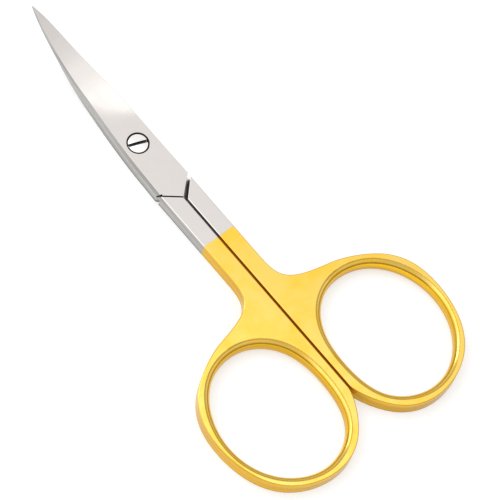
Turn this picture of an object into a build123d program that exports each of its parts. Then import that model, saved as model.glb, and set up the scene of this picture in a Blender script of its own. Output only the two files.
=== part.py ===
from build123d import *
from math import atan2, cos, hypot, radians, sqrt, tan
import os

# Curved-blade embroidery scissors: two crossing halves on one slotted pivot screw.
#
# The halves lie flat in XY with the blade tips towards +Y. The pivot is the Z axis, and z = 0 is
# the face that the finger loops rest on. The upper half has its loop on the left and its blade
# on top; the lower half is the other way round. Each half changes finish at the plating line, so
# it is made as two pieces that meet face to face there: a bare steel blade and a gold handle.

# ---- Overall, in millimetres and degrees ----
thickness = 3.0          # shanks, webs and finger loops, from face to face
tip_reach = 27.2         # pivot axis to blade tip
plating_y = -19.9        # where the gold plating starts
shank_half = 3.08        # pivot line to the outer side of either shank
axis_gap = 0.34          # slot between the two shanks
edge_round = 0.15        # long edges of shanks, and the outside edges of webs and loops

# ---- The crossing, where each half is cut down to one layer ----
lap_gap = 0.05           # running gap between the two layers
lap_side_y = -8.6        # end of a lap at its outer side
lap_apex_y = -11.4       # end of a lap beside the slot
shoulder_gap = 0.72      # lap end to the other half's shoulder, along Y
groove_width = 0.24      # relief line across the shank, opposite the lap's end
groove_depth = 0.45
groove_side_y = -9.1     # where it reaches the shank's side
groove_foot_y = -8.5     # and where, down that side, it reaches the other layer

# ---- Blades ----
flat_reach = 3.6         # the layers stay flat this far from the pivot axis
bend_radius = 53.0       # curve of the closed blades, rising towards the tips
tip_thickness = 0.25     # each blade at its tip
bevel_lean = 7.0         # degrees that the honed side leans back from upright
# Cutting side of the upper blade, from the crossing to just short of the tip. The lower
# blade's back is ground flush with it.
edge_side = [(-2.98, -6.0), (-2.72, 0.0), (-2.05, 8.0), (-1.66, 14.0), (-1.08, 19.7), (-0.52, 24.6)]
# Back of the upper blade, which covers the lower blade's cutting side when closed.
back_side = [(3.04, -6.0), (2.98, 2.0), (2.84, 8.4), (2.32, 14.0), (1.68, 19.7), (0.86, 24.6)]

# ---- Finger loops and webs ----
loop_x = 11.83           # centre of a finger hole from the pivot line
loop_y = -47.78
hole_half_width = 9.5
hole_half_length = 11.53
bar_outer = 1.43         # width of the loop's bar on its outer side
bar_end = 1.74           # and at its far end
parting_y = -51.5        # the two loops curve away from each other from here
hole_round = 1.0         # the finger hole's edges are well rounded, above and below
# Both outlines pass through points given in shares of their half sizes: rounder on the outer
# side, squarer beside the slot. The hole is closed; the loop's outside starts beside the slot.
hole_shape = [
    (-0.03, 1.0), (0.66, 0.74), (1.0, 0.03), (0.7, -0.69),
    (-0.08, -1.0), (-0.77, -0.73), (-1.0, -0.09), (-0.77, 0.705),
]
outer_shape = [(-0.7, -0.765), (-0.09, -1.0), (0.667, -0.741), (1.0, 0.0), (0.7, 0.745)]
armpit_y = -26.5         # the shank starts to flare into the web here
# Control points of the flare, from there: down the shank's side, then out along the web.
flare = [(0.0, 0.0), (0.0, -4.8), (1.17, -5.85), (8.5, -7.35)]

# ---- Pivot screw ----
head_diameter = 3.2
head_height = 0.8
head_crown = 0.1         # doming of the head's top
recess_diameter = 3.75
recess_depth = 0.85
screw_diameter = 2.0     # threaded into the lower half
screw_clearance = 0.05   # radial, in the upper half
slot_width = 0.5
slot_depth = 0.45
slot_angle = -20.0       # degrees from +X
end_inset = 0.1          # screw end to the lower half's underside
end_chamfer = 0.2

os.makedirs("parts", exist_ok=True)

# ---- Sizes that follow from these ----
middle = thickness / 2
layer = middle - lap_gap / 2
slot_half = axis_gap / 2
lean = tan(radians(bevel_lean))
end_reach = tip_reach + 1.0
margin = 5.0             # how far cutting shapes run past the metal


def rise(reach):
    """Height of the bend at a distance from the pivot axis."""
    return bend_radius - sqrt(bend_radius**2 - max(reach - flat_reach, 0) ** 2)


blade_room = thickness + rise(end_reach)


# ---- Shared outlines ----
def layer_profile(side):
    """Section of one layer through the pivot axis, curving up; side is 1 above, -1 below."""
    inner = middle + side * lap_gap / 2
    outer = middle + side * middle
    half_reach = (flat_reach + end_reach) / 2
    half_way = (half_reach, inner + rise(half_reach) + side * (layer + tip_thickness) / 2)
    with BuildSketch() as profile:
        with BuildLine():
            flat = Line((0, inner), (flat_reach, inner))
            bend = TangentArc(flat @ 1, (end_reach, inner + rise(end_reach)), tangent=flat % 1)
            end = Line(bend @ 1, bend @ 1 + Vector(0, side * tip_thickness))
            face = Line((0, outer), (flat_reach, outer))
            near = TangentArc(face @ 1, half_way, tangent=face % 1)
            TangentArc(near @ 1, end @ 1, tangent=near % 1)
            Line(face @ 0, flat @ 0)
        make_face()
    return profile.sketch


def layer_room(side):
    """Everything that one layer may fill: curved ahead of the pivot, flat behind it."""
    with BuildPart() as room:
        with BuildSketch(Plane.XZ):
            add(layer_profile(side))
        revolve(axis=Axis.Z, revolution_arc=180)
        with BuildSketch(Plane.XY.offset(middle + side * lap_gap / 2)):
            Rectangle(2 * end_reach, end_reach, align=(Align.CENTER, Align.MAX))
        extrude(amount=side * layer)
    return room.part


def layer_outline(left, right, lap_side):
    """Plan of one layer; lap_side is 1 where its lap ends on the right, beside the other
    half's shoulder, and its own shank is on the left."""
    lap_points = [
        (lap_side * shank_half, lap_side_y),
        (-lap_side * slot_half, lap_apex_y),
        (-lap_side * slot_half, plating_y),
        (-lap_side * shank_half, plating_y),
        (-lap_side * shank_half, groove_side_y),
    ]
    if lap_side < 0:
        lap_points.reverse()
    with BuildSketch() as outline:
        with BuildLine():
            Spline(*left, (0, tip_reach))
            Spline(*right, (0, tip_reach))
            Polyline(right[0], *lap_points, left[0])
        make_face()
    return outline.sketch


def shank_outline(side):
    """Plan of one full-thickness shank, from its shoulder to the plating line."""
    corners = [
        (side * shank_half, lap_side_y - shoulder_gap),
        (side * shank_half, plating_y),
        (side * slot_half, plating_y),
        (side * slot_half, lap_apex_y - shoulder_gap),
    ]
    with BuildSketch() as outline:
        with BuildLine():
            Polyline(*corners, close=True)
        make_face()
    return outline.sketch


def honed_region():
    """Plan, at mid thickness, of what the honing stone leaves of the upper blade. Its left
    side is set out so that the leaning cut reaches the bent layer at the cutting edge."""
    points = [(x - lean * rise(hypot(x, y)), y) for x, y in edge_side + [(0, tip_reach)]]
    with BuildSketch() as region:
        with BuildLine():
            edge = Spline((-shank_half, groove_side_y), *points)
            Polyline(
                edge @ 1,
                (0, tip_reach + margin),
                (2 * margin, tip_reach + margin),
                (2 * margin, plating_y - margin),
                (-2 * margin, plating_y - margin),
                (-2 * margin, groove_side_y),
                edge @ 0,
            )
        make_face()
    return region.sketch


def groove_outline(side):
    """Plan of the relief line across the shank on one side."""
    run = radians(90) - atan2(shank_half - slot_half, groove_side_y - lap_apex_y)
    half = groove_width / 2 / cos(run)
    corners = [
        (side * shank_half, groove_side_y + half),
        (side * slot_half, lap_apex_y + half),
        (side * slot_half, lap_apex_y - half),
        (side * shank_half, groove_side_y - half),
    ]
    with BuildSketch() as outline:
        with BuildLine():
            Polyline(*corners, close=True)
        make_face()
    return outline.sketch


def side_groove(rim_z):
    """Side view of the relief line where it runs on down the shank's side from the rim."""
    half = groove_width / 2
    foot_z = middle + (lap_gap / 2 if rim_z > middle else -lap_gap / 2)
    corners = [
        (groove_side_y - half, rim_z),
        (groove_side_y + half, rim_z),
        (groove_foot_y + half, foot_z),
        (groove_foot_y - half, foot_z),
    ]
    with BuildSketch() as outline:
        with BuildLine():
            Polyline(*corners, close=True)
        make_face()
    return outline.sketch


def shank_edges(part):
    """The long edges of a full-thickness shank, which run to the plating line."""
    along = part.edges().filter_by(Axis.Y)
    return [edge for edge in along if edge.bounding_box().min.Y < plating_y + edge_round]


upper_room = layer_room(1)
lower_room = layer_room(-1)

# ---- Blades, with the laps and the bare shanks ----
with BuildPart() as upper_blade:
    add(upper_room)
    with BuildSketch():
        add(layer_outline(edge_side, back_side, 1))
    extrude(amount=blade_room, mode=Mode.INTERSECT)
    with BuildSketch(Plane.XY.offset(middle)):
        add(honed_region())
    extrude(amount=blade_room, dir=(lean, 0, 1), mode=Mode.INTERSECT)
    with BuildSketch():
        add(shank_outline(-1))
    extrude(amount=thickness)
    fillet(shank_edges(upper_blade), edge_round)
    with BuildSketch(Plane.XY.offset(thickness)):
        add(groove_outline(-1))
    extrude(amount=-groove_depth, mode=Mode.SUBTRACT)
    with BuildSketch(Plane.YZ.offset(groove_depth - shank_half)):
        add(side_groove(thickness))
    extrude(amount=margin, dir=(-1, 0, 0), mode=Mode.SUBTRACT)
    with Locations((0, 0, thickness)):
        CounterBoreHole(screw_diameter / 2 + screw_clearance, recess_diameter / 2, recess_depth)
upper_blade.part.label = "upper_blade"
export_step(upper_blade.part, "parts/upper_blade.step")

with BuildPart() as lower_blade:
    add(lower_room)
    with BuildSketch():
        add(layer_outline(edge_side, [(-x, y) for x, y in edge_side], -1))
    extrude(amount=blade_room, mode=Mode.INTERSECT)
    with BuildSketch():
        add(shank_outline(1))
    extrude(amount=thickness)
    fillet(shank_edges(lower_blade), edge_round)
    with BuildSketch():
        add(groove_outline(1))
    extrude(amount=groove_depth, mode=Mode.SUBTRACT)
    with BuildSketch(Plane.YZ.offset(shank_half - groove_depth)):
        add(side_groove(0))
    extrude(amount=margin, dir=(1, 0, 0), mode=Mode.SUBTRACT)
    Hole(screw_diameter / 2)
lower_blade.part.label = "lower_blade"
export_step(lower_blade.part, "parts/lower_blade.step")

# ---- Gold handles: shank, web and finger loop ----
outer_x = (loop_x + hole_half_width + bar_outer + slot_half) / 2
outer_half_width = outer_x - slot_half
outer_half_length = hole_half_length + bar_end
outer_points = [(outer_x + u * outer_half_width, loop_y + v * outer_half_length) for u, v in outer_shape]
hole_points = [(loop_x + u * hole_half_width, loop_y + v * hole_half_length) for u, v in hole_shape]
flare_points = [(shank_half + x, armpit_y + y) for x, y in flare]

with BuildPart() as lower_handle:
    with BuildSketch():
        with BuildLine():
            inside = Line((slot_half, plating_y), (slot_half, parting_y))
            web = Bezier(*flare_points)
            ends = {"tangents": ((0, -1), -(web % 1)), "tangent_scalars": (0.5, 0.5)}
            Spline(inside @ 1, *outer_points, web @ 1, **ends)
            Polyline(web @ 0, (shank_half, plating_y), inside @ 0)
        make_face()
        with BuildLine():
            Spline(*hole_points, periodic=True)
        make_face(mode=Mode.SUBTRACT)
    extrude(amount=thickness)
    flats = lower_handle.faces().filter_by(Axis.Z)
    fillet([edge for face in flats for edge in face.inner_wires().edges()], hole_round)
    flats = lower_handle.faces().filter_by(Axis.Z)
    outside = [edge for face in flats for edge in face.outer_wire().edges()]
    fillet([edge for edge in outside if edge.center().Y < plating_y - edge_round], edge_round)
lower_handle.part.label = "lower_handle"
export_step(lower_handle.part, "parts/lower_handle.step")

with BuildPart() as upper_handle:
    mirror(lower_handle.part, about=Plane.YZ)
upper_handle.part.label = "upper_handle"
export_step(upper_handle.part, "parts/upper_handle.step")

# ---- Pivot screw, with a flush slotted head ----
head_foot = thickness - head_height
with BuildPart() as pivot_screw:
    with BuildSketch(Plane.XZ):
        with BuildLine():
            Polyline(
                (0, thickness),
                (0, end_inset),
                (screw_diameter / 2 - end_chamfer, end_inset),
                (screw_diameter / 2, end_inset + end_chamfer),
                (screw_diameter / 2, head_foot),
                (head_diameter / 2, head_foot),
                (head_diameter / 2, thickness - head_crown),
            )
            ThreePointArc(
                (head_diameter / 2, thickness - head_crown),
                (head_diameter / 4, thickness - head_crown / 4),
                (0, thickness),
            )
        make_face()
    revolve(axis=Axis.Z)
    with BuildSketch(Plane.XY.offset(thickness)):
        Rectangle(2 * head_diameter, slot_width, rotation=slot_angle)
    extrude(amount=-slot_depth, mode=Mode.SUBTRACT)
pivot_screw.part.label = "pivot_screw"
export_step(pivot_screw.part, "parts/pivot_screw.step")
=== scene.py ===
# %% [markdown]
# # Curved-blade embroidery scissors
#
# Real scissors of this kind are two steel forgings that turn on one slotted screw. The handles
# are plated with gold and the blades are left as polished steel. The shapes are finished in the
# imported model, so this lesson is about metal: how polish, plating, fine scratches and a good
# studio make bare shapes look like the real thing.
#
# Everything is in metres, and the pivot screw stands on the Z axis.

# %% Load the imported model
import bpy
from math import cos, radians, sin
from mathutils import Matrix, Vector

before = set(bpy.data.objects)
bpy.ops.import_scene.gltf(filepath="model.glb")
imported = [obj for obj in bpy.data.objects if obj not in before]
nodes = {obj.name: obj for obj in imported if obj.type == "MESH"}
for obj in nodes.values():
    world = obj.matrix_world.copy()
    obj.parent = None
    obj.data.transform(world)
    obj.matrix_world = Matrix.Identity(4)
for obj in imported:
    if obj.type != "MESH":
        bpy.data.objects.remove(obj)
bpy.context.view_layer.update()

mm = 0.001
scene = bpy.context.scene
print("pieces:", ", ".join(sorted(nodes)))

# %% [markdown]
# ## The camera
#
# A small shiny thing is best looked at from well back with a long lens, which keeps its two
# finger loops the same size. The camera stands above and to the left, and it is rolled so that
# the scissors lie across the picture with their tips in the upper left corner. A constraint
# could aim it, but one matrix worked out here says exactly where it stands.

# %% Set up the camera
def direction(azimuth, elevation):
    """Unit vector to a place in the studio, azimuth counted from +X towards +Y, in degrees."""
    azimuth, elevation = radians(azimuth), radians(elevation)
    return Vector((cos(elevation) * cos(azimuth), cos(elevation) * sin(azimuth), sin(elevation)))


def look_at(place, target, roll=0.0):
    """Matrix of a camera or a lamp at place that points at target."""
    aim = (target - place).to_track_quat("-Z", "Y").to_matrix().to_4x4()
    return Matrix.Translation(place) @ aim @ Matrix.Rotation(radians(roll), 4, "Z")


aim_point = Vector((2.43, -24.64, 3.0)) * mm
camera_azimuth = 210.55
camera_elevation = 64.62
camera_roll = 20.93
camera_distance = 0.6575
focal_length = 302.9
film_width = 36.0
view_direction = direction(camera_azimuth, camera_elevation)
lens = bpy.data.cameras.new("camera")
lens.lens = focal_length
lens.sensor_width = film_width
lens.clip_start = 0.01
camera = bpy.data.objects.new("camera", lens)
scene.collection.objects.link(camera)
camera.matrix_world = look_at(aim_point + view_direction * camera_distance, aim_point, camera_roll)
scene.camera = camera
print("camera at", [round(x, 3) for x in camera.matrix_world.translation])

# %% [markdown]
# ## The studio
#
# Polished metal has no colour of its own to show: it shows the room. So the room comes first, as
# a white tent all round that gives the even, bright faces. A darker band low on the horizon
# draws a fine dark line along every rounded edge, which makes an edge look crisp as no lamp can.
# A tent could be modelled from panels, but the world's own shader has no seams to reflect. The
# camera itself sees plain white instead of the tent.

# %% Make the tent
def put(tree, kind, inputs=None, **settings):
    """Adds a node. Each input is a number, a colour or the output of another node."""
    made = tree.nodes.new(kind)
    for name, value in settings.items():
        setattr(made, name, value)
    for name, value in (inputs or {}).items():
        socket = made.inputs[name]
        if isinstance(value, bpy.types.NodeSocket):
            tree.links.new(value, socket)
        else:
            socket.default_value = value
    return made


def ramp(tree, share, stops):
    """Adds a colour ramp whose stops are given as (place, colour)."""
    made = put(tree, "ShaderNodeValToRGB", {"Fac": share})
    elements = made.color_ramp.elements
    while len(elements) < len(stops):
        elements.new(1.0)
    for element, (place, colour) in zip(elements, stops):
        element.position = place
        element.color = (*colour, 1.0)
    return made.outputs["Color"]


def rescale(tree, value, start, end, low=0.0, high=1.0):
    """Maps value from start..end to low..high, and clamps it there."""
    return put(tree, "ShaderNodeMapRange", {0: value, 1: start, 2: end, 3: low, 4: high}).outputs[0]


def maths(tree, operation, *values):
    """One calculation on numbers."""
    return put(tree, "ShaderNodeMath", dict(enumerate(values)), operation=operation).outputs[0]


def vector_maths(tree, operation, first, second):
    """One calculation on vectors. Only a dot product gives a number."""
    made = put(tree, "ShaderNodeVectorMath", {0: first, 1: second}, operation=operation)
    return made.outputs["Value" if operation == "DOT_PRODUCT" else "Vector"]


def split(tree, vector, axis):
    """One axis of a vector."""
    return put(tree, "ShaderNodeSeparateXYZ", {0: vector}).outputs[axis]


wall_stops = [
    (0.0, (0.62, 0.61, 0.60)),
    (0.06, (0.44, 0.425, 0.41)),
    (0.30, (0.50, 0.485, 0.47)),
    (0.55, (0.97, 0.965, 0.96)),
    (1.0, (1.12, 1.105, 1.09)),
]
tent = bpy.data.worlds.new("tent")
tent.use_nodes = True
scene.world = tent
sky = tent.node_tree
sky.nodes.clear()
towards = put(sky, "ShaderNodeTexCoord").outputs["Generated"]
rise = split(sky, towards, "Z")
wall = ramp(sky, rise, wall_stops)
print("tent with", len(wall_stops), "stops from the horizon up")

# %% [markdown]
# ### The opening for the lens
#
# A tent needs a hole for the camera, and flat metal that faces the camera reflects that hole as
# a slightly darker patch. The two edge values are cosines of the angle away from the camera.
# The patch is kept soft and only a little darker, because a hard one draws thick black lines in
# the roundings of the finger loops.

# %% Cut the opening that the camera looks through
opening_outside = 0.94
opening_inside = 0.98
opening_light = 0.75
to_camera = vector_maths(sky, "DOT_PRODUCT", towards, view_direction)
opening = rescale(sky, to_camera, opening_outside, opening_inside, 1.0, opening_light)
print("the opening keeps", opening_light, "of the tent's light")

# %% [markdown]
# ### The graded sheet
#
# The curved blades sweep their reflection along the roof, so a sheet there that is brightest at
# one end gives them a clean white patch that fades away. Dividing each direction by its rise
# lays it out on a flat roof, where the sheet has one straight edge. A lamp could make the patch
# too, but its outline would show.

# %% Hang the graded sheet under the roof
lowest_rise = 0.05
sheet_edge = Vector((0.4215, 0.175, 0.0))
sheet_side = Vector((-0.912, -0.410, 0.0))
edge_blur = 0.01
bright_end, dim_end = 0.2, -0.8
sheet_stops = [(0.0, 1.55), (0.06, 1.42), (0.12, 1.18), (0.27, 1.0), (0.48, 0.90), (1.0, 0.82)]
roof = vector_maths(sky, "DIVIDE", towards, maths(sky, "MAXIMUM", rise, lowest_rise))
from_edge = vector_maths(sky, "SUBTRACT", roof, sheet_edge)
past_edge = vector_maths(sky, "DOT_PRODUCT", from_edge, sheet_side)
on_sheet = rescale(sky, past_edge, 0.0, edge_blur)
along_sheet = rescale(sky, split(sky, roof, "Y"), bright_end, dim_end)
sheet_gain = ramp(sky, along_sheet, [(where, (times,) * 3) for where, times in sheet_stops])
gain = maths(sky, "MULTIPLY_ADD", on_sheet, maths(sky, "SUBTRACT", sheet_gain, 1.0), 1.0)
tent_light = maths(sky, "MULTIPLY", gain, opening)
inside = put(sky, "ShaderNodeBackground", {"Color": wall, "Strength": tent_light}).outputs[0]
white = (1.0, 1.0, 1.0, 1.0)
backdrop = put(sky, "ShaderNodeBackground", {"Color": white, "Strength": 1.0}).outputs[0]
camera_ray = put(sky, "ShaderNodeLightPath").outputs["Is Camera Ray"]
shown = put(sky, "ShaderNodeMixShader", {0: camera_ray, 1: inside, 2: backdrop}).outputs[0]
put(sky, "ShaderNodeOutputWorld", {"Surface": shown})
print("sheet from", sheet_stops[0][1], "down to", sheet_stops[-1][1], "times the tent's light")

# %% [markdown]
# ### The card
#
# The tent lights everything from all sides, which leaves an object floating. One weak, soft
# card beyond the tips gives the shadows a direction. A sun would do that with a hard edge.

# %% Hang the card
table_centre = Vector((0.0, -0.02, 0.0))
card_distance = 1.2
card_side = 0.4
card_power = 1.6
lamp = bpy.data.lights.new("key_card", "AREA")
lamp.shape = "RECTANGLE"
lamp.size = lamp.size_y = card_side
lamp.energy = card_power
card = bpy.data.objects.new("key_card", lamp)
scene.collection.objects.link(card)
card.matrix_world = look_at(direction(100.0, 45.0) * card_distance, table_centre)
print("card at", [round(x, 2) for x in card.matrix_world.translation])

# %% [markdown]
# ### The floor
#
# The floor does two jobs, which one plain paper can't do at once. The camera has to see it
# nearly white, so there it glows as well as catching shadows. The metal has to reflect it as
# something dimmer than the tent, so every other ray meets a darker paper with a faint glow,
# which also lights the narrow slot between the handles. From below it is see-through. It lies a
# hair under the scissors, because two faces at one height flicker.

# %% Lay the floor
floor_gap = 0.02 * mm
floor_radius = 3.0
floor_corners = 96
bpy.ops.mesh.primitive_circle_add(
    vertices=floor_corners, radius=floor_radius, fill_type="NGON", location=(0, 0, -floor_gap)
)
floor = bpy.context.object
floor.name = "floor"
paper = bpy.data.materials.new("white_paper")
paper.use_nodes = True
table = paper.node_tree
table.nodes.clear()


def glowing_paper(colour, glow_colour, strength):
    """Matt paper that also gives off some light of its own."""
    matt = put(table, "ShaderNodeBsdfDiffuse", {"Color": (*colour, 1.0)}).outputs[0]
    glow = {"Color": (*glow_colour, 1.0), "Strength": strength}
    lit = put(table, "ShaderNodeEmission", glow).outputs[0]
    return put(table, "ShaderNodeAddShader", {0: matt, 1: lit}).outputs[0]


bright = glowing_paper((0.58, 0.59, 0.61), (1.0, 1.0, 1.0), 0.52)
dim = glowing_paper((0.70, 0.695, 0.69), (1.0, 0.99, 0.98), 0.25)
seen = put(table, "ShaderNodeLightPath").outputs["Is Camera Ray"]
above = put(table, "ShaderNodeMixShader", {0: seen, 1: dim, 2: bright}).outputs[0]
below = put(table, "ShaderNodeNewGeometry").outputs["Backfacing"]
glass = put(table, "ShaderNodeBsdfTransparent").outputs[0]
surface = put(table, "ShaderNodeMixShader", {0: below, 1: above, 2: glass}).outputs[0]
put(table, "ShaderNodeOutputMaterial", {"Surface": surface})
floor.data.materials.append(paper)
scene.view_settings.view_transform = "Standard"
print("floor radius in metres:", floor_radius)

# %% [markdown]
# ## Shared surface effects
#
# Six effects go onto polished metal: the wheel leaves fine lines, hands leave cloudy patches,
# edges are rubbed, oil and polish residue together with painted shade darken the recesses, the
# belt streaks the side walls, which also get painted shade and a painted shadow at their foot,
# and a painted dark line stands in for a reflection where a flat face turns over. Each is a node
# group with its own inputs, so that every metal can use it in its own strength. A painted
# texture could hold them too, but it would fit only one size and shape.

# %% Start a node group
number = "NodeSocketFloat"
arrow = "NodeSocketVector"


def start_group(name, inputs, outputs):
    """A new shader node group. Inputs and outputs are {name: kind}."""
    group = bpy.data.node_groups.new(name, "ShaderNodeTree")
    for socket, kind in inputs.items():
        group.interface.new_socket(socket, in_out="INPUT", socket_type=kind)
    for socket, kind in outputs.items():
        group.interface.new_socket(socket, in_out="OUTPUT", socket_type=kind)
    return group, put(group, "NodeGroupInput").outputs


def use_group(tree, group, inputs):
    """Adds a group to a tree and gives its outputs."""
    return put(tree, "ShaderNodeGroup", inputs, node_tree=group).outputs


def own_place(tree):
    """Where a point is on its own piece."""
    return put(tree, "ShaderNodeTexCoord").outputs["Object"]


def face_normal(tree):
    """The way the face looks, before any bump."""
    return put(tree, "ShaderNodeNewGeometry").outputs["Normal"]


print("sockets are", number, "or", arrow)

# %% [markdown]
# ### Polishing lines
#
# A noise drawn out along one axis makes parallel lines. A broad second noise makes them swell
# and fade, as lines from a hand-held wheel do.

# %% Polishing lines
broad_scale = 260.0
polish_lines, given = start_group(
    "polish_lines", {"Lines per Metre": arrow, "Wave": number}, {"Height": number}
)
place = own_place(polish_lines)
drawn = vector_maths(polish_lines, "MULTIPLY", place, given["Lines per Metre"])
fine = put(polish_lines, "ShaderNodeTexNoise", {"Vector": drawn, "Scale": 1.0, "Detail": 4.0})
broad = put(polish_lines, "ShaderNodeTexNoise", {"Vector": place, "Scale": broad_scale, "Detail": 1.0})
waved = maths(polish_lines, "MULTIPLY_ADD", broad.outputs["Fac"], given["Wave"], fine.outputs["Fac"])
put(polish_lines, "NodeGroupOutput", {"Height": waved})
print("polish_lines: broad swells at", broad_scale, "per metre")

# %% [markdown]
# ### Handling marks
#
# Skin leaves patches that are slightly less shiny. One cloudy noise both dulls the roughness
# and gives the mask that clouds the colour, so the two always fall in the same place.

# %% Handling marks
patch_start, patch_full = 0.42, 0.68
handling, given = start_group(
    "handling", {"Size": number, "Clean": number, "Dull": number}, {"Roughness": number, "Mask": number}
)
cloud = put(
    handling,
    "ShaderNodeTexNoise",
    {
        "Vector": own_place(handling),
        "Scale": given["Size"],
        "Detail": 5.0,
        "Roughness": 0.6,
        "Distortion": 0.4,
    },
)
patches = rescale(handling, cloud.outputs["Fac"], patch_start, patch_full)
dulled = rescale(handling, patches, 0.0, 1.0, given["Clean"], given["Dull"])
put(handling, "NodeGroupOutput", {"Roughness": dulled, "Mask": patches})
print("handling: patches from", patch_start, "to", patch_full, "of the noise")

# %% [markdown]
# ### Rubbed edges
#
# The bevel node bends the normal near an edge. How far it bends is a mask of the edges, and the
# bent normal itself rounds them off for the eye, with no change to the mesh.

# %% Rubbed edges
unbent, fully_bent = 1.0, 0.75
rubbed_edges, given = start_group("rubbed_edges", {"Width": number}, {"Mask": number, "Normal": arrow})
rounded = put(rubbed_edges, "ShaderNodeBevel", {"Radius": given["Width"]}, samples=8).outputs[0]
facing = vector_maths(rubbed_edges, "DOT_PRODUCT", rounded, face_normal(rubbed_edges))
bent = rescale(rubbed_edges, facing, unbent, fully_bent)
put(rubbed_edges, "NodeGroupOutput", {"Mask": bent, "Normal": rounded})
print("rubbed_edges: full at a cosine of", fully_bent)

# %% [markdown]
# ### Oil and polish residue, and painted shade, in the recesses
#
# Ambient occlusion finds the places a cloth can't reach, and the mask paints them dark: partly
# oil and polish residue, partly painted shade standing in for the shade deep in a recess. The
# occlusion looks only at the piece itself, so nothing changes when the halves turn.

# %% Oil and polish residue, with painted shade, in the recesses
fully_shut_in = 0.62
recess_residue_and_shade, given = start_group("recess_residue_and_shade", {"Reach": number, "Open": number}, {"Mask": number})
shut_in = put(
    recess_residue_and_shade, "ShaderNodeAmbientOcclusion", {"Distance": given["Reach"]}, samples=12, only_local=True
)
# Where little room is left the mask is full: residue and painted shade together.
residue_and_shade_mask = rescale(recess_residue_and_shade, shut_in.outputs["AO"], given["Open"], fully_shut_in)
put(recess_residue_and_shade, "NodeGroupOutput", {"Mask": residue_and_shade_mask})
print("recess_residue_and_shade: full where", fully_shut_in, "of the room is left")

# %% [markdown]
# ### Side walls
#
# The sides are ground on a belt and never polished like the faces, so lines run along them.
# Their tint is darker than the faces': that is painted shade. The normal tells a wall from a
# face, and the height on the piece stacks the lines and marks a painted shadow at the foot
# where a wall meets the table.

# %% Side walls, with the lines of the grinding belt running along them, and painted shade
face_tilt, wall_tilt = 0.85, 0.35
streak_start, streak_full = 0.35, 0.65
foot_shadow_top, foot_shadow_full = 0.55 * mm, 0.1 * mm
stretch = (40.0, 40.0, 0.0)
side_walls, given = start_group(
    "side_walls", {"Lines": number}, {"Wall": number, "Streak": number, "Foot Shadow": number}
)
flatness = maths(side_walls, "ABSOLUTE", split(side_walls, face_normal(side_walls), "Z"))
wall_share = rescale(side_walls, flatness, face_tilt, wall_tilt)
place = own_place(side_walls)
level = split(side_walls, place, "Z")
stacked = maths(side_walls, "MULTIPLY", level, given["Lines"])
lifted = put(side_walls, "ShaderNodeCombineXYZ", {"Z": stacked}).outputs[0]
drawn = vector_maths(side_walls, "ADD", vector_maths(side_walls, "MULTIPLY", place, stretch), lifted)
belt = put(side_walls, "ShaderNodeTexNoise", {"Vector": drawn, "Scale": 1.0, "Detail": 2.0})
streak = rescale(side_walls, belt.outputs["Fac"], streak_start, streak_full)
# The foot mask paints a shadow where the wall meets the table.
foot_shadow = rescale(side_walls, level, foot_shadow_top, foot_shadow_full)
foot_shadow_share = maths(side_walls, "MULTIPLY", foot_shadow, wall_share)
put(side_walls, "NodeGroupOutput", {"Wall": wall_share, "Streak": streak, "Foot Shadow": foot_shadow_share})
print("side_walls: foot up to", round(foot_shadow_top / mm, 2), "mm")

# %% [markdown]
# ### The turning line, a painted reflection
#
# A dark line is painted just where a flat face turns over into a rounding: a painted
# reflection of a dark edge line. Two ramps on the upward part of the normal, one rising and one
# falling, leave a thin band between them.

# %% The painted dark line where a flat face turns over into a rounding
still_flat = 0.999
painted_turn_line, given = start_group("painted_turn_line", {"From": number, "To": number}, {"Mask": number})
upward = split(painted_turn_line, face_normal(painted_turn_line), "Z")
after = rescale(painted_turn_line, upward, still_flat, given["From"])
before = rescale(painted_turn_line, upward, given["To"], given["From"])
put(painted_turn_line, "NodeGroupOutput", {"Mask": maths(painted_turn_line, "MULTIPLY", after, before)})
print("groups:", [g.name for g in bpy.data.node_groups])

# %% [markdown]
# ## The metals
#
# A metal's colour is the colour of what it reflects, so Base Color holds the tint of the
# reflection and Roughness says how sharp it is. The three metals share one recipe with their
# own values. The colours are laid over each other in order: the clouded tint, the rubbed edges,
# the side walls with their painted shade, the painted turning line and last the residue with
# painted shade in the recesses, which is rough and isn't metal. Three separate materials could
# be tuned freely, but they would soon stop looking like one object.

# %% The recipe for a polished metal
patch_size = 170.0
grain_wave = 3.0
belt_lines = 900.0
turn_from, turn_to = 0.985, 0.93
residue_and_shade_reach = 1.5 * mm
residue_and_shade_open = 0.88
residue_roughness = 0.5


def mix_colours(tree, share, first, second):
    """Goes from the first colour to the second as share goes from 0 to 1."""
    mixed = put(tree, "ShaderNodeMix", {0: share}, data_type="RGBA")
    for socket, value in ((mixed.inputs[6], first), (mixed.inputs[7], second)):
        if isinstance(value, bpy.types.NodeSocket):
            tree.links.new(value, socket)
        else:
            socket.default_value = (*value, 1.0)
    return mixed.outputs[2]


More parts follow.
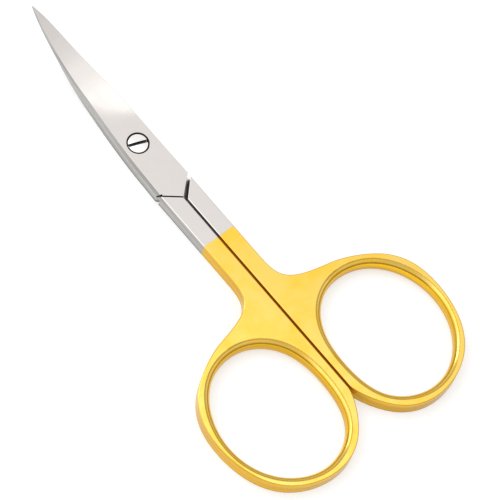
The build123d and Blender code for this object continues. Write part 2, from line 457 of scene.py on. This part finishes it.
def polished_metal(
    name, tint, clouded, rubbed, wall, streaked, foot_shadow, painted_line_colour, painted_line_share, residue_and_shade_colour,
    lines, clean, dull, bump, edge_width,
):
    """A metal with all six effects, including painted shade on the walls and in the recesses and a
    painted dark line. Colours are tints, and lengths are in metres.
    """
    material = bpy.data.materials.new(name)
    material.use_nodes = True
    tree = material.node_tree
    marks = use_group(tree, handling, {"Size": patch_size, "Clean": clean, "Dull": dull})
    edges = use_group(tree, rubbed_edges, {"Width": edge_width})
    grain = use_group(tree, polish_lines, {"Lines per Metre": lines, "Wave": grain_wave})
    sides = use_group(tree, side_walls, {"Lines": belt_lines})
    turning = use_group(tree, painted_turn_line, {"From": turn_from, "To": turn_to})
    residue_and_shade = use_group(tree, recess_residue_and_shade, {"Reach": residue_and_shade_reach, "Open": residue_and_shade_open})["Mask"]

    face = mix_colours(tree, marks["Mask"], tint, clouded)
    worn = mix_colours(tree, edges["Mask"], face, rubbed)
    # Side walls get a darker tint than the faces, darker still at the foot: painted shade and a painted
    # shadow.
    belted = mix_colours(tree, sides["Streak"], wall, streaked)
    foot_shadowed = mix_colours(tree, sides["Foot Shadow"], belted, foot_shadow)
    sided = mix_colours(tree, sides["Wall"], worn, foot_shadowed)
    # The painted dark line is laid over the colour here.
    line = maths(tree, "MULTIPLY", turning["Mask"], painted_line_share)
    lined = mix_colours(tree, line, sided, painted_line_colour)

    relief = put(tree, "ShaderNodeBump", {"Height": grain["Height"], "Strength": 1.0, "Distance": bump})
    tree.links.new(edges["Normal"], relief.inputs["Normal"])
    wired = {
        "Base Color": mix_colours(tree, residue_and_shade, lined, residue_and_shade_colour),
        "Metallic": rescale(tree, residue_and_shade, 0.0, 1.0, 1.0, 0.0),
        "Roughness": rescale(tree, residue_and_shade, 0.0, 1.0, marks["Roughness"], residue_roughness),
        "Normal": relief.outputs["Normal"],
    }
    for socket, value in wired.items():
        tree.links.new(value, tree.nodes["Principled BSDF"].inputs[socket])
    print(name, "roughness", clean, "to", dull)
    return material


# %% [markdown]
# ### Steel, gold plate and the screw's steel
#
# The blade is the smoothest, with lines across it. Gold is softer and takes more handling, and
# its recess colour is red-brown: rouge residue together with painted shade. The screw is turned
# rather than ground, so it is a little rougher. A line share of 0 leaves the painted turning
# line out.

# %% Steel, gold plate and the screw's steel
micron = 1e-6
# The wall and foot colours below are darker than each tint: painted shade on the side walls and a
# painted shadow at their foot.
steel_foot_shadow = (0.16, 0.16, 0.15)
steel_painted_line = (0.40, 0.39, 0.37)
# Nearly black: oil in the recesses together with painted shade.
oil_and_shade_black = (0.012, 0.009, 0.007)
steel = polished_metal(
    "polished_steel",
    tint=(0.70, 0.672, 0.65),
    clouded=(0.665, 0.64, 0.62),
    rubbed=(0.74, 0.715, 0.69),
    wall=(0.55, 0.545, 0.53),
    streaked=(0.34, 0.335, 0.32),
    foot_shadow=steel_foot_shadow,
    painted_line_colour=steel_painted_line,
    painted_line_share=0.0,
    residue_and_shade_colour=oil_and_shade_black,
    lines=(900.0, 30000.0, 900.0),
    clean=0.05,
    dull=0.09,
    bump=0.3 * micron,
    edge_width=0.06 * mm,
)
gold = polished_metal(
    "gold_plate",
    tint=(0.88, 0.60, 0.14),
    clouded=(0.90, 0.535, 0.065),
    rubbed=(0.90, 0.60, 0.12),
    wall=(0.96, 0.58, 0.012),
    streaked=(0.72, 0.41, 0.006),
    foot_shadow=(0.62, 0.36, 0.03),
    painted_line_colour=(0.26, 0.17, 0.02),
    painted_line_share=0.75,
    residue_and_shade_colour=(0.50, 0.075, 0.004),
    lines=(2500.0, 2500.0, 2500.0),
    clean=0.10,
    dull=0.18,
    bump=1.0 * micron,
    edge_width=0.05 * mm,
)
screw = polished_metal(
    "screw_steel",
    tint=(0.88, 0.87, 0.86),
    clouded=(0.80, 0.79, 0.78),
    rubbed=(0.80, 0.79, 0.78),
    wall=(0.30, 0.29, 0.28),
    streaked=(0.22, 0.21, 0.20),
    foot_shadow=steel_foot_shadow,
    painted_line_colour=steel_painted_line,
    painted_line_share=0.0,
    residue_and_shade_colour=oil_and_shade_black,
    lines=(8000.0, 8000.0, 8000.0),
    clean=0.10,
    dull=0.18,
    bump=0.5 * micron,
    edge_width=0.05 * mm,
)

# %% Give each piece its metal
finishes = {
    "upper_blade": steel,
    "lower_blade": steel,
    "upper_handle": gold,
    "lower_handle": gold,
    "pivot_screw": screw,
}
for piece, finish in finishes.items():
    nodes[piece].material_slots[0].material = finish
    print(piece, "->", finish.name)
